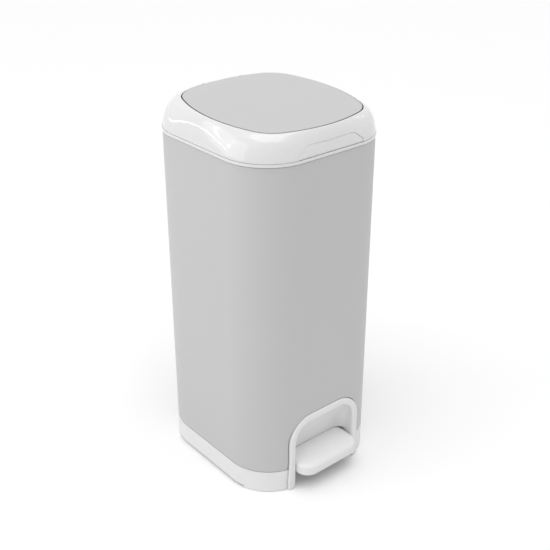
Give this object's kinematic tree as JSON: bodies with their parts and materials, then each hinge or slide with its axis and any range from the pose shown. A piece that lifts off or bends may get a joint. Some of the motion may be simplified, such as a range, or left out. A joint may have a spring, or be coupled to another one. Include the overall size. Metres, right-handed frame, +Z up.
{
  "type": "pedal nappy bin",
  "caption": "Tall rounded-square nappy bin: grey body, glossy white tilting head, grey lid lifted by a foot pedal, film refill and spring clamp inside.",
  "frame": {"origin": "on the floor, under the middle of the whole bin's box, pedal and hinge included", "axes": "+Z up; front, with the pedal and the release button, towards -Y; +X to the right seen from the front"},
  "size_m": [0.2566, 0.3094, 0.5953],
  "materials": {
    "grey_shell": "fine matte grain",
    "grey_lid": "fine matte grain",
    "white_gloss": "gloss",
    "white_satin": "satin",
    "pedal_white": "satin",
    "inner_white": "satin",
    "inner_grey": "satin",
    "cassette": "satin",
    "film": "thin folded film",
    "carbon": "granular carbon in a felt pad",
    "rubber": "matte",
    "steel": "bright drawn wire",
    "spring_steel": "spring wire"
  },
  "bodies": {
    "housing": {"body_shell": "grey_shell", "base": "white_satin", "inner_floor": "white_satin", "pedal_surround": "white_satin", "rod_guide": "white_satin", "collar": "white_gloss", "head_hinge_pin": "steel", "pedal_pin": "steel", "pedal_spring": "spring_steel", "foot_front_left": "rubber", "foot_front_right": "rubber", "foot_rear_left": "rubber", "foot_rear_right": "rubber"},
    "pedal": {"pedal_pad": "pedal_white", "pedal_lever": "inner_grey"},
    "push_rod": {"push_rod": "inner_grey"},
    "head": {"head_shell": "white_gloss", "head_deck": "inner_white", "lid_hinge_pin": "steel", "refill_cassette": "cassette", "film_pack": "film", "clamp_frame": "inner_grey", "jaw_pin_left": "steel", "jaw_pin_right": "steel", "jaw_spring_left": "spring_steel", "jaw_spring_right": "spring_steel", "film_cutter": "inner_grey"},
    "release_button": {"release_button": "white_gloss"},
    "jaw_left": {"clamp_jaw_left": "inner_grey", "jaw_lip_left": "rubber"},
    "jaw_right": {"clamp_jaw_right": "inner_grey", "jaw_lip_right": "rubber"},
    "lid": {"lid_panel": "grey_lid", "lid_frame": "inner_white", "lid_gasket": "rubber", "carbon_filter": "carbon", "filter_cover": "inner_white"}
  },
  "joints": [
    {"name": "head_hinge", "type": "hinge", "parent": "housing", "child": "head", "pos_m": [0, 0.15018, 0.549], "axis": [-1, 0, 0], "range_deg": [0, 70]},
    {"name": "lid_hinge", "type": "hinge", "parent": "head", "child": "lid", "pos_m": [0, 0.12107, 0.58954], "axis": [-1, 0, 0], "range_deg": [0, 80]},
    {"name": "pedal_pivot", "type": "hinge", "parent": "housing", "child": "pedal", "pos_m": [0, 0.00718, 0.03], "axis": [1, 0, 0], "range_deg": [0, 6.36], "deforming": ["pedal_spring"]},
    {"name": "rod_slide", "type": "slide", "parent": "housing", "child": "push_rod", "axis": [0, 0, 1], "range_m": [0, 0.014]},
    {"name": "button_press", "type": "slide", "parent": "head", "child": "release_button", "axis": [0, 1, 0], "range_m": [0, 0.0025], "stiffness_N_per_m": 400, "springref_m": -0.002},
    {"name": "jaw_left_hinge", "type": "hinge", "parent": "head", "child": "jaw_left", "pos_m": [-0.0512, 0.00019, 0.4989], "axis": [0, 1, 0], "range_deg": [0, 75], "stiffness_Nm_per_rad": 0.05, "springref_deg": -45.84},
    {"name": "jaw_right_hinge", "type": "hinge", "parent": "head", "child": "jaw_right", "pos_m": [0.0512, 0.00019, 0.4989], "axis": [0, -1, 0], "range_deg": [0, 75], "stiffness_Nm_per_rad": 0.05, "springref_deg": -45.84}
  ],
  "couplings": [
    {"joint": "pedal_pivot", "follows": "lid_hinge", "ratio": 0.079365},
    {"joint": "rod_slide", "follows": "lid_hinge", "m_per_rad": 0.01}
  ]
}
